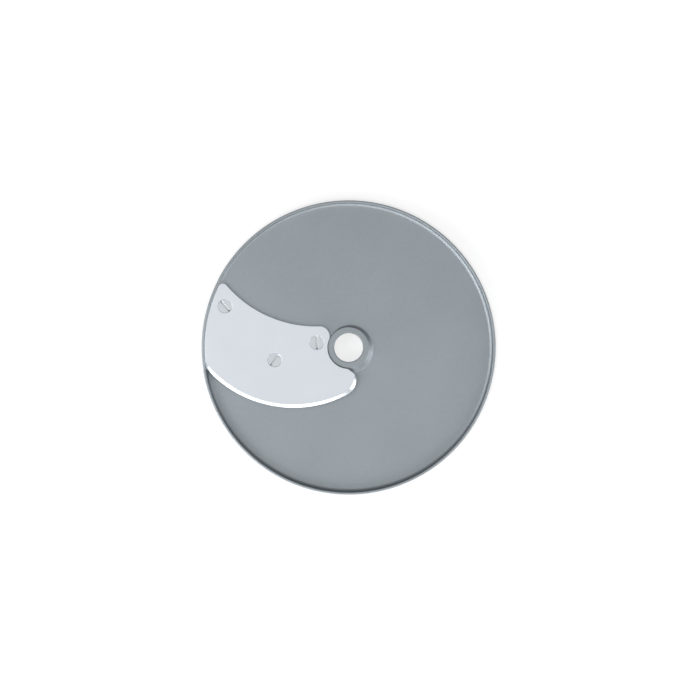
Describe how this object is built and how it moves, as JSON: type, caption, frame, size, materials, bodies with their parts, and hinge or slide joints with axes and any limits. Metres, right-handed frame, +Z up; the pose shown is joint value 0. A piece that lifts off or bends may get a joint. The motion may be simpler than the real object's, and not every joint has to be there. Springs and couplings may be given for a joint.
{
  "type": "food processor slicing disc",
  "caption": "Round cast slicing disc with a helical plate, a raised rim, a hub with a drive bore and a curved screwed-on blade over its throat.",
  "frame": {"origin": "on the axis of the drive bore, in the plane that the rim stands on", "axes": "+Z up along the bore, from the rim's lower edge to the cutting side; +X away from the blade's screws, so that the blade lies towards -X"},
  "size_m": [0.19, 0.19, 0.016],
  "materials": {
    "cast_aluminium": "matt cast aluminium, fine grain",
    "blade_steel": "satin stainless steel, ground edge",
    "screw_steel": "satin stainless steel"
  },
  "bodies": {
    "root": {"disc_plate": "cast_aluminium", "slicing_blade": "blade_steel", "blade_screws": "screw_steel"}
  },
  "joints": []
}
